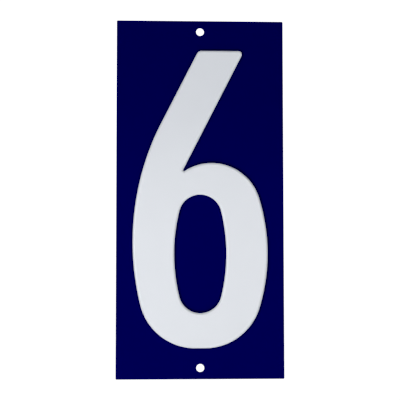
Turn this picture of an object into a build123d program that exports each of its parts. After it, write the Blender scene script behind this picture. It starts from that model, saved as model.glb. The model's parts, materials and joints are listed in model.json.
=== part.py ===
"""House number plaque: one pressed sheet-metal plate with a raised digit 6, hollow from behind.

The drawing is made lying flat and seen from the front: x to the right, y up, z towards the
viewer, with the back of the sheet on z = 0. The finished plate is then stood upright, so that
its front looks along -Y and its back lies on the plane y = 0.
"""

from build123d import *
from math import copysign, cos, degrees, radians, sin, sqrt, tan
import os

# Plate, in millimetres
plate_width = 70.0
plate_height = 150.0
sheet = 0.8
plate_corner_radius = 0.4
edge_break = 0.15  # on the front of the sheared edges and of the punched holes

# Screw holes, one near each short edge
hole_diameter = 3.4
hole_edge_distance = 4.6  # from the short edge to the hole's centre

# Relief: how far the digit stands out, and how the sheet bends at its border
relief_height = 1.5
wall_slope = 50.0  # degrees from the plate, where the wall is straight
punch_radius = 0.3  # inside the upper bend, on the back of the sheet
die_radius = 0.8  # inside the lower bend, on the front of the sheet

# Digit. Its outline runs halfway down the wall, and its heights count from its lowest point
side_margin = 6.75  # to the plate's long edges
end_margin = 12.7  # to the short edges
bowl_height = 77.25
base_flat = 4.06  # straight stretch at the very bottom
inner_corner_drop = 4.16  # from the bowl's highest point down to where the stem meets it
left_side_radius = 109.7
left_widest_height = 44.4
right_side_radius = 77.6
right_widest_height = 39.6
stem_width = 17.37
stem_lean = 27.07  # degrees from upright
stem_left_corner_radius = 0.9  # at the stem's top, measured on the raised face
stem_right_corner_radius = 0.5
inner_corner_radius = 0.3  # where the stem meets the bowl

# Counter, the blue island inside the bowl
counter_width = 21.44
counter_height = 49.0
counter_base_height = 14.7
counter_side_radius = 74.0

half_width = plate_width / 2 - side_margin
top = plate_height / 2 - end_margin
base = -top
slope = radians(wall_slope)
both_bends = punch_radius + sheet + die_radius
wall_run = both_bends * sin(slope) + (relief_height - both_bends * (1 - cos(slope))) / tan(slope)
towards_viewer = Vector(0, 0, 1)
probe = 0.01  # a step that is small beside every size


def at_height(point, direction, height):
    """The point where a line through a point reaches a height."""
    return point + direction * ((height - point.Y) / direction.Y)


def side_joint(side_centre, side_radius, touch):
    """Where a side arc passes smoothly into the end arc that is level at the point touch."""
    reach = touch - side_centre
    end_radius = (side_radius**2 - reach.length**2) / (2 * (side_radius - abs(reach.Y)))
    end_centre = touch - Vector(0, copysign(end_radius, reach.Y))
    return side_centre + (end_centre - side_centre).normalized() * side_radius


def crown_top(corner, side_centre, side_radius):
    """Highest point of the arc that rises from the inner corner and runs into the right side.

    The arc's centre lies u beside the corner and drop - radius above it. Both ends of the arc
    give an equation in u and the radius, and together they are a quadratic in u.
    """
    drop = inner_corner_drop
    reach = side_centre - corner
    a = side_radius + reach.Y
    b = drop * reach.X
    c = drop**2 * (side_radius - reach.Y) - drop * (side_radius**2 - reach.length**2)
    u = (b + sqrt(b**2 - a * c)) / a
    return corner + Vector(u, drop)


def digit_face():
    """The 6 as seen from the front, with its counter open."""
    right_centre = Vector(half_width - right_side_radius, base + right_widest_height)
    left_centre = Vector(left_side_radius - half_width, base + left_widest_height)
    base_right = Vector(base_flat / 2, base)
    base_left = Vector(-base_flat / 2, base)

    up_stem = Vector(sin(radians(stem_lean)), cos(radians(stem_lean)))
    across_stem = Vector(up_stem.Y, -up_stem.X)
    stem_foot = left_centre - across_stem * left_side_radius
    stem_right = stem_foot + across_stem * stem_width
    top_left = at_height(stem_foot, up_stem, top)
    top_right = at_height(stem_right, up_stem, top)
    inner_corner = at_height(stem_right, up_stem, base + bowl_height - inner_corner_drop)

    crown = crown_top(inner_corner, right_centre, right_side_radius)
    right_high = side_joint(right_centre, right_side_radius, crown)
    right_low = side_joint(right_centre, right_side_radius, base_right)
    left_low = side_joint(left_centre, left_side_radius, base_left)

    corner_radii = (stem_right_corner_radius + wall_run / 2, stem_left_corner_radius + wall_run / 2)
    outline = [
        FilletPolyline(inner_corner, top_right, top_left, stem_foot, radius=corner_radii),
        ThreePointArc(stem_foot, (-half_width, left_centre.Y), left_low),
        TangentArc(base_left, left_low, tangent=(-1, 0)),
        Line(base_left, base_right),
        TangentArc(base_right, right_low, tangent=(1, 0)),
        ThreePointArc(right_low, (half_width, right_centre.Y), right_high),
        ThreePointArc(right_high, crown, inner_corner),
    ]
    solid_digit = make_face(outline)
    corner = solid_digit.vertices().sort_by_distance(inner_corner)[0]
    return fillet(corner, inner_corner_radius) - counter_face()


def counter_face():
    """The counter: two shallow side arcs joined by two tight end arcs, the same both ways."""
    half = Vector(counter_width / 2, counter_height / 2)
    side_centre = Vector(half.X - counter_side_radius, 0)
    joint = side_joint(side_centre, counter_side_radius, Vector(0, half.Y))
    end = ThreePointArc((-joint.X, joint.Y), (0, half.Y), (joint.X, joint.Y))
    side = ThreePointArc((joint.X, joint.Y), (half.X, 0), (joint.X, -joint.Y))
    half_turn = Rot(0, 0, 180)
    outline = [end, side, half_turn * end, half_turn * side]
    return Pos(0, base + counter_base_height + half.Y) * make_face(outline)


def wall_section(upper_radius, lower_radius, field, floor):
    """The area under one surface of the bent sheet, across the wall.

    x points away from the digit, with its outline at 0. field is the surface's height on the
    plate around the digit, and floor is where the area ends below.
    """
    turn = Vector(sin(slope), cos(slope) - 1)
    high = Vector(-wall_run / 2, field + relief_height)
    low = Vector(wall_run / 2, field)
    upper_bend = TangentArc(high, high + turn * upper_radius, tangent=(1, 0))
    lower_bend = TangentArc(low, low - turn * lower_radius, tangent=(-1, 0))
    wall = Line(upper_bend @ 1, lower_bend @ 1)
    below = Polyline(low, (low.X, floor), (high.X, floor), high)
    return make_face([upper_bend, wall, lower_bend, below])


def away_from(face, edge):
    """The direction at an edge's start, square to it, that leads off the face."""
    beside_middle = edge @ 0.5 + (edge % 0.5).cross(towards_viewer) * probe
    side = -1 if face.is_inside(beside_middle) else 1
    return (edge % 0).cross(towards_viewer) * side


def upright(point, outward):
    """A plane that stands across the outline, with x leading outward and y towards the viewer."""
    return Plane(point, x_dir=outward, z_dir=outward.cross(towards_viewer))


def carry_along(section, edge, face):
    """A wall section carried along one stretch of the outline, straight or round.

    In a tight inner corner the section ends at the arc's centre, and its neighbours fill the rest.
    """
    start, heading, outward = edge @ 0, edge % 0, away_from(face, edge)
    if edge.geom_type == GeomType.LINE:
        return extrude(upright(start, outward) * section, amount=edge.length, dir=heading)
    centre = edge.arc_center
    from_centre = start - centre
    section = Pos(from_centre.dot(outward)) * section
    if from_centre.dot(outward) < 0 < section.bounding_box().max.X:
        section = split(section, Plane.YZ, keep=Keep.BOTTOM)
    axis = Axis(centre, from_centre.cross(heading))
    return revolve(upright(centre, outward) * section, axis, degrees(edge.length / edge.radius))


def digit_form(face, upper_radius, lower_radius, field, floor):
    """The digit as a solid, up to one surface of the sheet."""
    section = wall_section(upper_radius, lower_radius, field, floor)
    raised_face = offset(face, amount=-wall_run / 2)
    middle = extrude(Pos(0, 0, floor) * raised_face, amount=field + relief_height - floor)
    walls = [carry_along(section, edge, face) for edge in face.edges()]
    return middle + walls


def blank():
    """The flat plate with its two screw holes, before the digit is pressed into it."""
    hole_height = plate_height / 2 - hole_edge_distance
    outline = RectangleRounded(plate_width, plate_height, plate_corner_radius)
    holes = [Pos(0, height) * Circle(hole_diameter / 2) for height in (-hole_height, hole_height)]
    plate = extrude(outline - holes, sheet)
    return chamfer(plate.faces().sort_by(Axis.Z)[-1].edges(), edge_break)


def plaque():
    """The plate with the digit pressed out of it from behind, stood upright."""
    face = digit_face()
    raised = digit_form(face, punch_radius + sheet, die_radius, sheet, 0)
    hollow = digit_form(face, punch_radius, die_radius + sheet, 0, -sheet)
    return Rot(90, 0, 0) * (blank() + raised - hollow)


os.makedirs("parts", exist_ok=True)
export_step(plaque(), "parts/number_plate.step")
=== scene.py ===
"""House number plaque: one sheet-metal plate, pressed from behind with a digit 6 and enamelled.

A flat blank is drawn first, front and back, upright in its own place: x to the right, z up, the
back of the sheet on y = 0 and the front looking along -y. A geometry tree then presses the digit
out of it, and enamel in three finishes covers it.
"""

import json
from cmath import phase, rect
from math import acos, ceil, copysign, cos, pi, radians, sin, sqrt, tan

import bmesh
import bpy
from bpy.props import FloatProperty, FloatVectorProperty, PointerProperty
from bpy.types import Operator, Panel, PropertyGroup
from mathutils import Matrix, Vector


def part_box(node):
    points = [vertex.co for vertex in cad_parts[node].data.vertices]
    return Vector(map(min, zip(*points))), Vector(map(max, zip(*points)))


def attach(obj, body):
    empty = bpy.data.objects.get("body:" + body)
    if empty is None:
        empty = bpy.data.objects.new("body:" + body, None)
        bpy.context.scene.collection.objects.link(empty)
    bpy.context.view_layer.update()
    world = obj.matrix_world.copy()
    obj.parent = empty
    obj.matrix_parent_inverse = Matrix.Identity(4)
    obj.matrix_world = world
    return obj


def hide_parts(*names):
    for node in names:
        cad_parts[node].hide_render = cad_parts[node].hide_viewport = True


bl_info = {
    "name": "House number plaque",
    "version": (1, 0, 0),
    "blender": (4, 5, 0),
    "location": "View3D > Sidebar > Plaque",
    "description": "Presses and enamels a house number plate, and sets it in a soft studio light",
    "category": "Object",
}

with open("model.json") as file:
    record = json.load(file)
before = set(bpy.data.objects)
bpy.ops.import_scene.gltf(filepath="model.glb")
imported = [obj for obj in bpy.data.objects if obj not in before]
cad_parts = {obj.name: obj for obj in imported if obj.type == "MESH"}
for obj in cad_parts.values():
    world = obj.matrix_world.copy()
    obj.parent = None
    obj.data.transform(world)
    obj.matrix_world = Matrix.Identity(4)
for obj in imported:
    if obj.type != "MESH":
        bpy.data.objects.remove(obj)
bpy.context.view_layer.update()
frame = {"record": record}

MM = 0.001
NODE = "number_plate"
BORDER_NAME = "from_border"  # the blank's attribute: distance outward from the digit's border

# How finely the plate and the floor are drawn
ROUND_ERROR = 0.003 * MM  # from a round stretch to the middle of an edge along it
LARGEST_TURN = radians(8)  # between two edges along a round stretch
BEND_TURN = radians(5)  # between two edges across a bend of the sheet
SUPPORT = 0.12 * MM  # from a bend to the edge that keeps the flat beside it flat
SAME_PLACE = 0.0005 * MM  # between points that count as one
SHARP_EDGE = radians(28)  # between two faces that are not shaded as one surface
FLOOR_SIDES = 96

BACKWARD = 0.2  # the back's faces have a normal that points backward by more than this
MIX_FIRST, MIX_SECOND, MIX_RESULT = 6, 7, 2  # a Mix node's sockets for colours

lowest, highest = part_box(NODE)
screws = next(m["dims"] for m in frame["record"]["mounts"] if m["name"] == "screw_holes")
sheet_thickness = 0.8 * MM


def length(name, description, default):
    """A size that Blender keeps in metres."""
    return FloatProperty(
        name=name, description=description, default=default, min=0, unit="LENGTH", precision=5
    )


def angle(name, description, default_degrees):
    """An angle that Blender keeps in radians."""
    return FloatProperty(
        name=name, description=description, default=radians(default_degrees), unit="ROTATION"
    )


def colour(name, description, default):
    """A colour in linear red, green and blue."""
    return FloatVectorProperty(
        name=name, description=description, default=default, min=0, max=1, subtype="COLOR"
    )


def strength(name, description, default):
    """A strength with no upper end."""
    return FloatProperty(name=name, description=description, default=default, min=0)


def factor(name, description, default):
    """A share from 0 to 1."""
    return FloatProperty(
        name=name, description=description, default=default, min=0, max=1, subtype="FACTOR"
    )


def watts(name, description, default):
    """The power of a lamp."""
    return FloatProperty(name=name, description=description, default=default, min=0, unit="POWER")


class BlankSizes(PropertyGroup):
    """The flat plate before it is pressed."""

    width: length("Width", "Across the plate", highest.x - lowest.x)
    height: length("Height", "Along the plate", highest.z - lowest.z)
    corner_radius: length("Corner radius", "Of the plate's four corners", 0.4 * MM)
    sheet: length("Sheet", "Thickness of the metal", sheet_thickness)
    edge_break: length("Edge break", "On the front of sheared edges and holes", 0.15 * MM)
    hole_radius: length("Hole radius", "Of both screw holes", screws["hole_r_mm"] * MM)
    hole_spacing: length("Hole spacing", "Between the screw holes", screws["spacing_y_mm"] * MM)


class PressSizes(PropertyGroup):
    """How the sheet bends at the digit's border."""

    relief: length("Relief", "How far the digit stands out", -lowest.y - sheet_thickness)
    punch_radius: length("Punch radius", "Inside the upper bend, on the back", 0.3 * MM)
    die_radius: length("Die radius", "Inside the lower bend, on the front", 0.8 * MM)
    slope: angle("Wall slope", "From the plate to the wall, where it is straight", 50)


class DigitSizes(PropertyGroup):
    """The 6, measured at its border, halfway down the wall, and upward from its lowest point."""

    side_margin: length("Side margin", "To the plate's long edges", 6.75 * MM)
    end_margin: length("End margin", "To the plate's short edges", 12.7 * MM)
    bowl_height: length("Bowl height", "To the top of the bowl", 77.25 * MM)
    base_flat: length("Base flat", "Straight stretch at the very bottom", 4.06 * MM)
    corner_drop: length("Corner drop", "From the bowl's top to where the stem meets it", 4.16 * MM)
    left_radius: length("Left radius", "Of the left side", 109.7 * MM)
    left_height: length("Left height", "Where the left side is widest", 44.4 * MM)
    right_radius: length("Right radius", "Of the bowl's right side", 77.6 * MM)
    right_height: length("Right height", "Where the right side is widest", 39.6 * MM)
    stem_width: length("Stem width", "Across the stem", 17.37 * MM)
    stem_lean: angle("Stem lean", "From upright", 27.07)
    left_corner: length("Left corner", "Radius on the raised face, at the stem's top", 0.9 * MM)
    right_corner: length("Right corner", "Radius on the raised face, at the stem's top", 0.5 * MM)
    inner_corner: length("Inner corner", "Radius where the stem meets the bowl", 0.3 * MM)
    counter_width: length("Counter width", "Across the island inside the bowl", 21.44 * MM)
    counter_height: length("Counter height", "Along the island", 49 * MM)
    counter_base: length("Counter base", "Height where the island begins", 14.7 * MM)
    counter_radius: length("Counter radius", "Of the island's two sides", 74 * MM)


class Finishes(PropertyGroup):
    """The enamel."""

    field: colour("Field", "Blue enamel on the front and the edges", (0.001, 0.001, 0.0955))
    digit: colour("Digit", "White enamel on the raised face", (0.769, 0.784, 0.818))
    back: colour("Back", "Thin blue coat behind", (0.003, 0.004, 0.085))
    field_shine: factor("Field shine", "How much the blue reflects", 0.08)
    digit_shine: factor("Digit shine", "How much the white reflects", 0.5)
    back_shine: factor("Back shine", "How much the coat behind reflects", 0.3)
    roughness: factor("Roughness", "Of the front enamel", 0.2)
    back_roughness: factor("Back roughness", "Of the coat behind", 0.42)
    unevenness: factor("Unevenness", "How far the roughness drifts either way", 0.1)
    patch_size: length("Patch size", "Between patches of uneven roughness", 6 * MM)
    white_inset: length("White inset", "From the digit's border to the white's edge", 0.09 * MM)
    tone: factor("Tone", "How far the colour drifts over the plate", 0.03)
    peel_size: length("Peel size", "Between the low waves of stoved enamel", 1.5 * MM)
    peel_depth: length("Peel depth", "Of those waves", 0.002 * MM)
    sag_size: length("Sag size", "Between the slow waves of pressed sheet", 26 * MM)
    sag_depth: length("Sag depth", "Of those waves", 0.02 * MM)


class StudioSettings(PropertyGroup):
    """The camera, the lamps and the floor."""

    azimuth: angle("Azimuth", "Of the camera, to the right of the plate's front", -2.5)
    elevation: angle("Elevation", "Of the camera, above the plate's middle", -3.45)
    roll: angle("Roll", "Of the camera", -0.04)
    distance: length("Distance", "From the camera to the plate", 450 * MM)
    lens: FloatProperty(
        name="Lens", description="Focal length", default=96.88, min=1, unit="CAMERA"
    )
    aim: FloatVectorProperty(
        name="Aim",
        description="Where the camera looks, from the middle of the plate's back",
        default=(-0.06 * MM, -sheet_thickness, -0.67 * MM),
        subtype="TRANSLATION",
        precision=5,
    )
    front_light: watts("Front light", "Large soft lamp behind the camera, low", 1.58)
    left_light: watts("Left light", "Soft lamp on the left", 2.24)
    right_light: watts("Right light", "Weak soft lamp on the right", 0.22)
    back_light: watts("Back light", "Soft lamp behind, high on the right", 5)
    floor_light: watts("Floor light", "Large lamp high behind, for the floor", 6.5)
    side_tint: colour("Side tint", "Of the two lamps at the sides", (0.94, 0.97, 1))
    ambient: factor("Ambient", "Light from all round", 0.06)
    surround: strength("Surround", "Brightness of the white behind the plate", 1.1)
    black_level: strength("Black level", "Light that the picture shows as black", 0.025)
    floor_drop: length("Floor drop", "From the plate's lower edge to the floor", 300 * MM)
    floor_radius: length("Floor radius", "Of the pale floor", 1000 * MM)
    floor_colour: colour("Floor", "Pale matt floor", (0.86, 0.86, 0.86))
    floor_roughness: factor("Floor roughness", "Of the floor", 0.9)
    floor_glow: factor("Floor glow", "What the camera sees on the floor besides its light", 0.42)


class PlaqueSettings(PropertyGroup):
    """Everything that a user would change."""

    blank: PointerProperty(type=BlankSizes)
    press: PointerProperty(type=PressSizes)
    digit: PointerProperty(type=DigitSizes)
    finish: PointerProperty(type=Finishes)
    studio: PointerProperty(type=StudioSettings)


class Straight:
    """A straight stretch of an outline. Points are complex numbers: across, and up times i."""

    def __init__(self, start, end):
        self.start = start
        self.end = end

    def at(self, share):
        """The point at a share of the way along it."""
        return self.start + (self.end - self.start) * share

    def edge_count(self):
        """One edge is enough."""
        return 1


class Round:
    """A round stretch of an outline, from one angle to another."""

    def __init__(self, centre, radius, first, last):
        self.centre = centre
        self.radius = radius
        self.first = first
        self.last = last

    def at(self, share):
        """The point at a share of the way along it."""
        return self.centre + rect(self.radius, self.first + (self.last - self.first) * share)

    def edge_count(self):
        """How many edges keep it round."""
        turn = min(LARGEST_TURN, 2 * acos(1 - ROUND_ERROR / self.radius))
        return ceil(abs(self.last - self.first) / turn)


def wall_run(blank, press):
    """How far the wall reaches across, from the raised face to the field."""
    bends = press.punch_radius + blank.sheet + press.die_radius
    straight_rise = press.relief - bends * (1 - cos(press.slope))
    return bends * sin(press.slope) + straight_rise / tan(press.slope)


def at_height(point, direction, height):
    """The point where a line through a point reaches a height."""
    return point + direction * (height - point.imag) / direction.imag


def along(vector, direction):
    """How far a vector reaches along a direction."""
    return (vector * direction.conjugate()).real


class EndArc:
    """The tight arc that is level at the point touch and passes smoothly into a wide side arc."""

    def __init__(self, side_centre, side_radius, touch):
        reach = touch - side_centre
        spare = side_radius**2 - abs(reach) ** 2
        self.radius = spare / (2 * (side_radius - abs(reach.imag)))
        self.centre = touch - 1j * copysign(self.radius, reach.imag)
        self.joint = phase(self.centre - side_centre)


class DigitDrawing:
    """The borders of the 6 as seen from the front, each of which can be moved outward."""

    def __init__(self, blank, press, digit):
        half_width = blank.width / 2 - digit.side_margin
        self.digit = digit
        self.top = blank.height / 2 - digit.end_margin
        self.base = -self.top
        self.right_centre = half_width - digit.right_radius + 1j * (self.base + digit.right_height)
        self.left_centre = digit.left_radius - half_width + 1j * (self.base + digit.left_height)
        self.base_right = digit.base_flat / 2 + 1j * self.base
        self.base_left = self.base_right - digit.base_flat
        self.low_right = EndArc(self.right_centre, digit.right_radius, self.base_right)
        self.low_left = EndArc(self.left_centre, digit.left_radius, self.base_left)

        self.up = rect(1, pi / 2 - digit.stem_lean)
        self.across = self.up * -1j
        self.stem_foot = self.left_centre - self.across * digit.left_radius
        self.stem_right = self.stem_foot + self.across * digit.stem_width
        self.crown = EndArc(self.right_centre, digit.right_radius, self.crown_top())

        run = wall_run(blank, press)
        self.left_corner_radius = digit.left_corner + run / 2
        self.right_corner_radius = digit.right_corner + run / 2
        self.left_corner = at_height(
            self.stem_foot + self.across * self.left_corner_radius,
            self.up,
            self.top - self.left_corner_radius,
        )
        self.right_corner = at_height(
            self.stem_right - self.across * self.right_corner_radius,
            self.up,
            self.top - self.right_corner_radius,
        )

    def crown_top(self):
        """Highest point of the arc that rises from the inner corner and runs into the right side.

        The arc's centre lies u beside the corner and drop - radius above it. Both ends of the arc
        give an equation in u and the radius, and together they are a quadratic in u.
        """
        drop = self.digit.corner_drop
        side_radius = self.digit.right_radius
        corner = at_height(self.stem_right, self.up, self.base + self.digit.bowl_height - drop)
        reach = self.right_centre - corner
        a = side_radius + reach.imag
        b = drop * reach.real
        c = drop**2 * (side_radius - reach.imag) - drop * (side_radius**2 - abs(reach) ** 2)
        u = (b + sqrt(b**2 - a * c)) / a
        return corner + u + 1j * drop

    def groove(self, out):
        """The point that lies the same distance outside the stem's right side and the crown."""
        foot = self.stem_right + self.across * out
        reach = foot - self.crown.centre
        back = along(reach, self.up)
        radius = self.crown.radius + out
        return foot + self.up * (sqrt(back**2 - abs(reach) ** 2 + radius**2) - back)

    def outer(self, out):
        """The outer border, moved outward, anticlockwise from its lowest stretch.

        The inner corner's arc shrinks as the border moves outward. Past its centre the stem's side
        and the crown meet each other instead, along a groove.
        """
        low_right, low_left, crown = self.low_right, self.low_left, self.crown
        corner = self.groove(max(out, self.digit.inner_corner))
        corner_radius = max(self.digit.inner_corner - out, 0)
        crown_end = phase(corner - crown.centre)
        side_radius = self.digit.right_radius + out
        left_side_radius = self.digit.left_radius + out
        left_angle = pi - self.digit.stem_lean
        left_joint = low_left.joint % (2 * pi)
        left_radius = self.left_corner_radius + out
        right_radius = self.right_corner_radius + out
        stem_base = corner - self.across * corner_radius
        stem_end = self.right_corner + self.across * right_radius
        left_stem_end = self.left_corner - self.across * left_radius
        return [
            Straight(self.base_left - 1j * out, self.base_right - 1j * out),
            Round(low_right.centre, low_right.radius + out, -pi / 2, low_right.joint),
            Round(self.right_centre, side_radius, low_right.joint, crown.joint),
            Round(crown.centre, crown.radius + out, crown.joint, crown_end),
            Round(corner, corner_radius, crown_end + pi, left_angle),
            Straight(stem_base, stem_end),
            Round(self.right_corner, right_radius, -self.digit.stem_lean, pi / 2),
            Straight(self.right_corner + 1j * right_radius, self.left_corner + 1j * left_radius),
            Round(self.left_corner, left_radius, pi / 2, left_angle),
            Straight(left_stem_end, self.stem_foot - self.across * out),
            Round(self.left_centre, left_side_radius, left_angle, left_joint),
            Round(low_left.centre, low_left.radius + out, left_joint, 3 * pi / 2),
        ]

    def counter(self, out):
        """The counter's border, moved outward from the digit, which is inward to the island."""
        half_width = self.digit.counter_width / 2
        half_height = self.digit.counter_height / 2
        middle = 1j * (self.base + self.digit.counter_base + half_height)
        side = half_width - self.digit.counter_radius
        end = EndArc(side, self.digit.counter_radius, 1j * half_height)
        side_radius = self.digit.counter_radius - out
        end_radius = end.radius - out
        return [
            Round(middle + side, side_radius, -end.joint, end.joint),
            Round(middle + end.centre, end_radius, end.joint, pi - end.joint),
            Round(middle - side, side_radius, pi - end.joint, pi + end.joint),
            Round(middle - end.centre, end_radius, pi + end.joint, 2 * pi - end.joint),
        ]


def plate_border(blank, inset):
    """The plate's outline, moved inward."""
    radius = blank.corner_radius - inset
    right = blank.width / 2 - blank.corner_radius
    top = blank.height / 2 - blank.corner_radius
    corners = [right - 1j * top, right + 1j * top, -right + 1j * top, -right - 1j * top]
    stretches = []
    for quarter, (corner, following) in enumerate(zip(corners, corners[1:] + corners[:1])):
        first = (quarter - 1) * pi / 2
        arc = Round(corner, radius, first, first + pi / 2)
        stretches.append(arc)
        stretches.append(Straight(arc.at(1), following + rect(radius, first + pi / 2)))
    return stretches


def hole_border(blank, side, inset):
    """The outline of the upper or the lower screw hole, widened."""
    return [Round(1j * side * blank.hole_spacing / 2, blank.hole_radius + inset, 0, 2 * pi)]


def ring_distances(blank, press, wanted, depth):
    """Where edges run beside the digit's border on a surface at a depth in the sheet.

    They cross each bend in equal turns, and one stands in the flat on either side. The wanted
    distances are added to them.
    """
    half_run = wall_run(blank, press) / 2
    upper = press.punch_radius + depth
    lower = press.die_radius + blank.sheet - depth
    turns = ceil(press.slope / BEND_TURN)
    angles = [press.slope * turn / turns for turn in range(turns + 1)]
    distances = {-half_run - SUPPORT, half_run + SUPPORT, *wanted}
    distances.update(upper * sin(bend) - half_run for bend in angles)
    distances.update(half_run - lower * sin(bend) for bend in angles)
    return sorted(distances)


def new_object(name, data):
    """An object in the scene."""
    made = bpy.data.objects.new(name, data)
    bpy.context.scene.collection.objects.link(made)
    return made


def mesh_object(name, drawn):
    """An object in the scene with the mesh that was drawn."""
    data = bpy.data.meshes.new(name)
    drawn.to_mesh(data)
    drawn.free()
    return new_object(name, data)


class Blank:
    """The flat blank, drawn loop by loop as one closed shell."""

    def __init__(self):
        self.mesh = bmesh.new()
        self.from_border = self.mesh.verts.layers.float.new(BORDER_NAME)

    def loop(self, border, moved, depth, from_border):
        """A closed loop of points at a depth in the sheet, on a border that is moved.

        Where an arc has shrunk to its centre, its points are one.
        """
        loop = []
        for stretch, unmoved in zip(border(moved), border(0)):
            for step in range(unmoved.edge_count()):
                point = stretch.at(step / unmoved.edge_count())
                place = Vector((point.real, -depth, point.imag))
                if not loop or (place - loop[-1].co).length > SAME_PLACE:
                    vert = self.mesh.verts.new(place)
                    vert[self.from_border] = from_border
                loop.append(vert)
        return loop

    def bridge(self, loop, following):
        """A strip of faces between two loops with as many points."""
        for index in range(len(loop)):
            corners = (loop[index - 1], loop[index], following[index], following[index - 1])
            distinct = list(dict.fromkeys(corners))
            if len(distinct) > 2:
                self.mesh.faces.new(distinct)

    def rings(self, border, distances, depth):
        """Strips beside a border, from distance to distance. Gives the first and the last loop."""
        loops = [self.loop(border, distance, depth, distance) for distance in distances]
        for loop, following in zip(loops, loops[1:]):
            self.bridge(loop, following)
        return loops[0], loops[-1]

    def fill(self, *loops):
        """Flat faces between an outer loop and those inside it."""
        edges = [
            self.mesh.edges.get(ends)
            for loop in loops
            for ends in zip(loop, loop[1:] + loop[:1])
            if ends[0] is not ends[1]
        ]
        bmesh.ops.triangle_fill(self.mesh, edges=edges, use_beauty=True)

    def object(self, name):
        """The finished blank as an object, its faces turned outward."""
        bmesh.ops.recalc_face_normals(self.mesh, faces=self.mesh.faces)
        return mesh_object(name, self.mesh)


def draw_blank(settings, name):
    """The flat plate with its screw holes, with edges ready wherever the sheet will bend."""
    sizes = settings.blank
    drawing = DigitDrawing(sizes, settings.press, settings.digit)
    blank = Blank()
    borders = [
        lambda inset: plate_border(sizes, inset),
        lambda inset: hole_border(sizes, 1, inset),
        lambda inset: hole_border(sizes, -1, inset),
    ]
    far = wall_run(sizes, settings.press) / 2 + SUPPORT
    shoulder_depth = sizes.sheet - sizes.edge_break
    white_edge = -settings.finish.white_inset
    corner_centre = settings.digit.inner_corner
    backs = [blank.loop(border, 0, 0, far) for border in borders]
    shoulders = [blank.loop(border, 0, shoulder_depth, far) for border in borders]
    fronts = [blank.loop(border, sizes.edge_break, sizes.sheet, far) for border in borders]
    for back, shoulder, front in zip(backs, shoulders, fronts):
        blank.bridge(back, shoulder)
        blank.bridge(shoulder, front)
    for depth, sheared in ((0, backs), (sizes.sheet, fronts)):
        distances = ring_distances(sizes, settings.press, (white_edge, corner_centre), depth)
        raised_rim, field_rim = blank.rings(drawing.outer, distances, depth)
        counter_rim, island_rim = blank.rings(drawing.counter, distances, depth)
        blank.fill(raised_rim, counter_rim)
        blank.fill(island_rim)
        blank.fill(*sheared, field_rim)
    return blank.object(name)


class Number:
    """A number that varies over a surface. Sums on it add Math nodes."""

    def __init__(self, graph, socket):
        self.graph = graph
        self.socket = socket

    def __add__(self, other):
        return self.graph.maths("ADD", self, other)

    def __sub__(self, other):
        return self.graph.maths("SUBTRACT", self, other)

    def __rsub__(self, other):
        return self.graph.maths("SUBTRACT", other, self)

    def __mul__(self, other):
        return self.graph.maths("MULTIPLY", self, other)

    def __truediv__(self, other):
        return self.graph.maths("DIVIDE", self, other)

    def __lt__(self, other):
        return self.graph.maths("LESS_THAN", self, other)

    def __gt__(self, other):
        return self.graph.maths("GREATER_THAN", self, other)

    __radd__ = __add__
    __rmul__ = __mul__

    def at_least(self, other):
        return self.graph.maths("MAXIMUM", self, other)

    def at_most(self, other):
        return self.graph.maths("MINIMUM", self, other)

    def root(self):
        return self.graph.maths("SQRT", self)

    def sine(self):
        return self.graph.maths("SINE", self)

    def cosine(self):
        return self.graph.maths("COSINE", self)


class Graph:
    """A node tree that is written as expressions."""

    def __init__(self, tree):
        self.tree = tree

    def add(self, kind, settings=None, inputs=None):
        """A node: its settings first, then the values or links of its sockets."""
        node = self.tree.nodes.new(kind)
        for name, value in (settings or {}).items():
            setattr(node, name, value)
        for name, value in (inputs or {}).items():
            self.feed(node.inputs[name], value)
        return node

    def feed(self, socket, value):
        """Links a socket to a number or another socket, or sets it to a plain value."""
        if isinstance(value, Number):
            self.tree.links.new(value.socket, socket)
        elif isinstance(value, bpy.types.NodeSocket):
            self.tree.links.new(value, socket)
        else:
            socket.default_value = value

    def number(self, kind, settings=None, inputs=None, output=0):
        """A node's output as a number."""
        return Number(self, self.add(kind, settings, inputs).outputs[output])

    def maths(self, operation, *values):
        """What a Math node makes of one or more values."""
        return self.number("ShaderNodeMath", {"operation": operation}, dict(enumerate(values)))


def empty_graph(owner):
    """The node tree of a material or a world, cleared."""
    owner.use_nodes = True
    owner.node_tree.nodes.clear()
    return Graph(owner.node_tree)


PRESS_SIZES = (
    "Relief Height",
    "Sheet Thickness",
    "Punch Radius",
    "Die Radius",
    "Wall Slope",
    "White Inset",
)
PRESS_COATS = ("Front Enamel", "Digit Enamel", "Back Enamel")


def sheet_rise(graph, from_border, relief, sheet, punch, die, slope):
    """How far a point of the sheet moves forward in the press.

    This depends on its distance from the digit's border and on its depth in the sheet. The upper
    bend turns about the punch's edge and the lower bend about the die's, so the sheet keeps its
    thickness round them.
    """
    place = graph.add("GeometryNodeInputPosition").outputs[0]
    depth = 0 - graph.number("ShaderNodeSeparateXYZ", inputs={0: place}, output="Y")
    turn_across = slope.sine()
    turn_up = slope.cosine()
    bends = punch + sheet + die
    half_run = (bends * turn_across + (relief - bends * (1 - turn_up)) * turn_up / turn_across) / 2

    def fall(radius, past):
        """How far the surface falls, this far past the start of a bend."""
        past = past.at_least(0)
        bent = past.at_most(radius * turn_across)
        straight = (past - bent) * turn_across / turn_up
        return radius - (radius * radius - bent * bent).root() + straight

    upper = punch + depth
    lower = die + sheet - depth
    above = relief - fall(upper, from_border + half_run)
    below = fall(lower, half_run - from_border)
    is_above = from_border < (upper - lower) * turn_across / 2
    return is_above * above + (1 - is_above) * below


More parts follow.
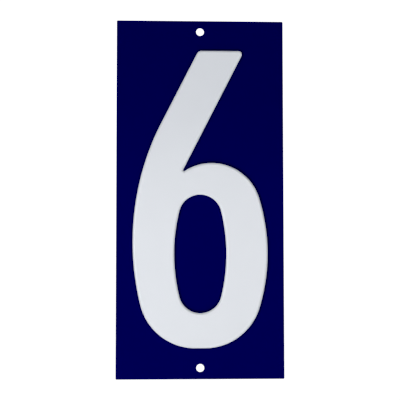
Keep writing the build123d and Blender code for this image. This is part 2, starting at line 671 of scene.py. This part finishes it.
def shade_smooth(graph, geometry):
    """Shades faces as one surface, apart from where they meet at a sharp edge."""
    edge_turn = graph.number("GeometryNodeInputMeshEdgeAngle")
    smooth = graph.add("GeometryNodeSetShadeSmooth", {"domain": "FACE"}, {"Geometry": geometry})
    return graph.add(
        "GeometryNodeSetShadeSmooth",
        {"domain": "EDGE"},
        {
            "Geometry": smooth.outputs[0],
            "Selection": edge_turn > SHARP_EDGE,
            "Shade Smooth": False,
        },
    )


def press_tree():
    """The tree that presses the digit out of a flat blank and enamels it.

    Every point of the sheet keeps its place across and up, and moves forward.
    """
    tree = bpy.data.node_groups.new("press digit", "GeometryNodeTree")
    tree.interface.new_socket("Geometry", in_out="INPUT", socket_type="NodeSocketGeometry")
    for name in PRESS_SIZES:
        tree.interface.new_socket(name, in_out="INPUT", socket_type="NodeSocketFloat")
    for name in PRESS_COATS:
        tree.interface.new_socket(name, in_out="INPUT", socket_type="NodeSocketMaterial")
    tree.interface.new_socket("Geometry", in_out="OUTPUT", socket_type="NodeSocketGeometry")

    graph = Graph(tree)
    given = graph.add("NodeGroupInput").outputs
    *bend_sizes, white_inset = (Number(graph, given[name]) for name in PRESS_SIZES)
    from_border = graph.number("GeometryNodeInputNamedAttribute", inputs={"Name": BORDER_NAME})
    rise = sheet_rise(graph, from_border, *bend_sizes)
    forward = graph.add("ShaderNodeCombineXYZ", inputs={"Y": 0 - rise}).outputs[0]
    pressed = graph.add(
        "GeometryNodeSetPosition", inputs={"Geometry": given["Geometry"], "Offset": forward}
    )
    smooth = shade_smooth(graph, pressed.outputs[0])
    plate = graph.add("GeometryNodeRealizeInstances", inputs={0: smooth.outputs[0]})

    normal = graph.add("GeometryNodeInputNormal").outputs[0]
    facing = graph.number("ShaderNodeSeparateXYZ", inputs={0: normal}, output="Y")
    coats = {
        "Front Enamel": True,
        "Back Enamel": facing > BACKWARD,
        "Digit Enamel": (facing < 0) * (from_border < 0 - white_inset),
    }
    for name, where in coats.items():
        plate = graph.add(
            "GeometryNodeSetMaterial",
            inputs={"Geometry": plate.outputs[0], "Selection": where, "Material": given[name]},
        )
    graph.add("NodeGroupOutput", inputs={0: plate.outputs[0]})
    return tree


def run_tree(piece, tree, values):
    """Runs a geometry tree on a piece and keeps the result as its plain mesh."""
    modifier = piece.modifiers.new(tree.name, "NODES")
    modifier.node_group = tree
    for item in tree.interface.items_tree:
        if item.in_out == "INPUT" and item.name in values:
            modifier[item.identifier] = values[item.name]
    graph = bpy.context.evaluated_depsgraph_get()
    result = bpy.data.meshes.new_from_object(
        piece.evaluated_get(graph), preserve_all_data_layers=True, depsgraph=graph
    )
    piece.modifiers.clear()
    piece.data = result


def enamel(name, tint, roughness, shine, finish):
    """Stoved enamel: a drifting tone under low waves, on sheet that is not quite flat."""
    material = bpy.data.materials.new(name)
    graph = empty_graph(material)
    place = graph.add("ShaderNodeTexCoord").outputs["Object"]

    def waves(size, detail):
        """Soft noise from 0 to 1, with waves of this size."""
        return graph.number(
            "ShaderNodeTexNoise", inputs={"Vector": place, "Scale": 1 / size, "Detail": detail}
        )

    drift = waves(finish.sag_size, detail=2)
    tint = Vector(tint)
    tone = graph.add(
        "ShaderNodeMix",
        {"data_type": "RGBA"},
        {
            "Factor": drift,
            MIX_FIRST: (*(tint * (1 - finish.tone)), 1),
            MIX_SECOND: (*(tint * (1 + finish.tone)), 1),
        },
    )
    uneven = 1 - finish.unevenness + 2 * finish.unevenness * waves(finish.patch_size, detail=2)
    peel = waves(finish.peel_size, detail=1) * finish.peel_depth
    sag = drift * finish.sag_depth
    bump = graph.add("ShaderNodeBump", inputs={"Distance": 1, "Height": peel + sag})
    shader = graph.add(
        "ShaderNodeBsdfPrincipled",
        inputs={
            "Base Color": tone.outputs[MIX_RESULT],
            "Roughness": roughness * uneven,
            "Specular IOR Level": shine,
            "Normal": bump.outputs[0],
        },
    )
    graph.add("ShaderNodeOutputMaterial", inputs={"Surface": shader.outputs[0]})
    return material


class PressPlate(Operator):
    """Draws the blank, presses the digit out of it and enamels it"""

    bl_idname = "plaque.press_plate"
    bl_label = "Press the plate"

    def execute(self, context):
        settings = context.scene.plaque
        press, finish = settings.press, settings.finish
        front, back = finish.roughness, finish.back_roughness
        plate = draw_blank(settings, "enamelled_plate")
        values = {
            "Relief Height": press.relief,
            "Sheet Thickness": settings.blank.sheet,
            "Punch Radius": press.punch_radius,
            "Die Radius": press.die_radius,
            "Wall Slope": press.slope,
            "White Inset": finish.white_inset,
            "Front Enamel": enamel("blue enamel", finish.field, front, finish.field_shine, finish),
            "Digit Enamel": enamel("white enamel", finish.digit, front, finish.digit_shine, finish),
            "Back Enamel": enamel("thin blue enamel", finish.back, back, finish.back_shine, finish),
        }
        run_tree(plate, press_tree(), values)
        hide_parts(NODE)
        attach(plate, "root")
        return {"FINISHED"}


def from_middle(bearing, rise, distance):
    """A point seen from the plate's middle, bearing to the right of its front and rise upward."""
    level = cos(rise) * distance
    return Vector((sin(bearing) * level, -cos(bearing) * level, sin(rise) * distance))


def soft_lamp(name, power, bearing, rise, distance, size, tint=(1, 1, 1)):
    """A square soft lamp that looks at the plate's middle. Bearing and rise are in degrees."""
    data = bpy.data.lights.new(name, "AREA")
    data.size = size
    data.energy = power
    data.color = tint
    lamp = new_object(name, data)
    lamp.location = from_middle(radians(bearing), radians(rise), distance)
    lamp.rotation_euler = (-lamp.location).to_track_quat("-Z", "Y").to_euler()


def add_lamps(studio):
    """Soft lamps: three in front, one behind, and a large one behind for the floor."""
    side = {"rise": 0, "distance": 0.7, "size": 0.3, "tint": studio.side_tint}
    soft_lamp("front light", studio.front_light, bearing=2, rise=-12, distance=0.7, size=0.5)
    soft_lamp("left light", studio.left_light, bearing=-25, **side)
    soft_lamp("right light", studio.right_light, bearing=25, **side)
    soft_lamp("back light", studio.back_light, bearing=112, rise=32, distance=0.8, size=0.3)
    soft_lamp("floor light", studio.floor_light, bearing=180, rise=50, distance=1.6, size=1.2)


def add_floor(studio):
    """A round pale floor, well below the plate."""
    mesh = bmesh.new()
    bmesh.ops.create_circle(
        mesh, cap_ends=True, segments=FLOOR_SIDES, radius=studio.floor_radius
    )
    floor = mesh_object("floor", mesh)
    floor.location.z = lowest.z - studio.floor_drop
    material = bpy.data.materials.new("pale floor")
    graph = empty_graph(material)
    seen = graph.number("ShaderNodeLightPath", output="Is Camera Ray")
    shader = graph.add(
        "ShaderNodeBsdfPrincipled",
        inputs={
            "Base Color": (*studio.floor_colour, 1),
            "Roughness": studio.floor_roughness,
            "Emission Color": seen * studio.floor_glow,
            "Emission Strength": 1,
        },
    )
    graph.add("ShaderNodeOutputMaterial", inputs={"Surface": shader.outputs[0]})
    floor.data.materials.append(material)


def set_world(studio):
    """A white surround, which the camera sees brighter than it lights the plate."""
    world = bpy.data.worlds.new("white surround")
    graph = empty_graph(world)
    seen = graph.number("ShaderNodeLightPath", output="Is Camera Ray")
    background = graph.add(
        "ShaderNodeBackground",
        inputs={
            "Color": (1, 1, 1, 1),
            "Strength": seen * studio.surround + (1 - seen) * studio.ambient,
        },
    )
    graph.add("ShaderNodeOutputWorld", inputs={"Surface": background.outputs[0]})
    bpy.context.scene.world = world


def add_camera(studio):
    """The camera, a little below and to the left of the plate's middle."""
    data = bpy.data.cameras.new("camera")
    data.lens = studio.lens
    camera = new_object("camera", data)
    away = from_middle(studio.azimuth, studio.elevation, studio.distance)
    camera.location = studio.aim + away
    camera.rotation_euler = (-away).to_track_quat("-Z", "Y").to_euler()
    camera.rotation_euler.rotate_axis("Z", studio.roll)
    bpy.context.scene.camera = camera


def set_picture(view, black_level):
    """A plain picture whose darkest tones run into black, as in the photograph."""
    view.view_transform = "Standard"
    view.use_curve_mapping = True
    view.curve_mapping.black_level = (black_level, black_level, black_level)
    view.curve_mapping.update()


class SetStudio(Operator):
    """Sets up the floor, the lamps, the surround and the camera"""

    bl_idname = "plaque.set_studio"
    bl_label = "Set the studio"

    def execute(self, context):
        studio = context.scene.plaque.studio
        add_floor(studio)
        add_lamps(studio)
        set_world(studio)
        add_camera(studio)
        set_picture(context.scene.view_settings, studio.black_level)
        return {"FINISHED"}


class PlaquePanel(Panel):
    """The plaque's sizes and finishes, and the steps that make it"""

    bl_idname = "VIEW3D_PT_plaque"
    bl_label = "House number plaque"
    bl_space_type = "VIEW_3D"
    bl_region_type = "UI"
    bl_category = "Plaque"

    def draw(self, context):
        settings = context.scene.plaque
        for group_name in PlaqueSettings.__annotations__:
            box = self.layout.box()
            group = getattr(settings, group_name)
            box.label(text=group_name.capitalize())
            for name in type(group).__annotations__:
                box.prop(group, name)
        for operator in (PressPlate, SetStudio):
            self.layout.operator(operator.bl_idname)


CLASSES = (
    BlankSizes,
    PressSizes,
    DigitSizes,
    Finishes,
    StudioSettings,
    PlaqueSettings,
    PressPlate,
    SetStudio,
    PlaquePanel,
)


def register():
    for cls in CLASSES:
        bpy.utils.register_class(cls)
    bpy.types.Scene.plaque = PointerProperty(type=PlaqueSettings)


def unregister():
    del bpy.types.Scene.plaque
    for cls in reversed(CLASSES):
        bpy.utils.unregister_class(cls)


def main():
    """Makes the plaque and its studio."""
    register()
    bpy.ops.plaque.press_plate()
    bpy.ops.plaque.set_studio()


if __name__ == "__main__":
    main()
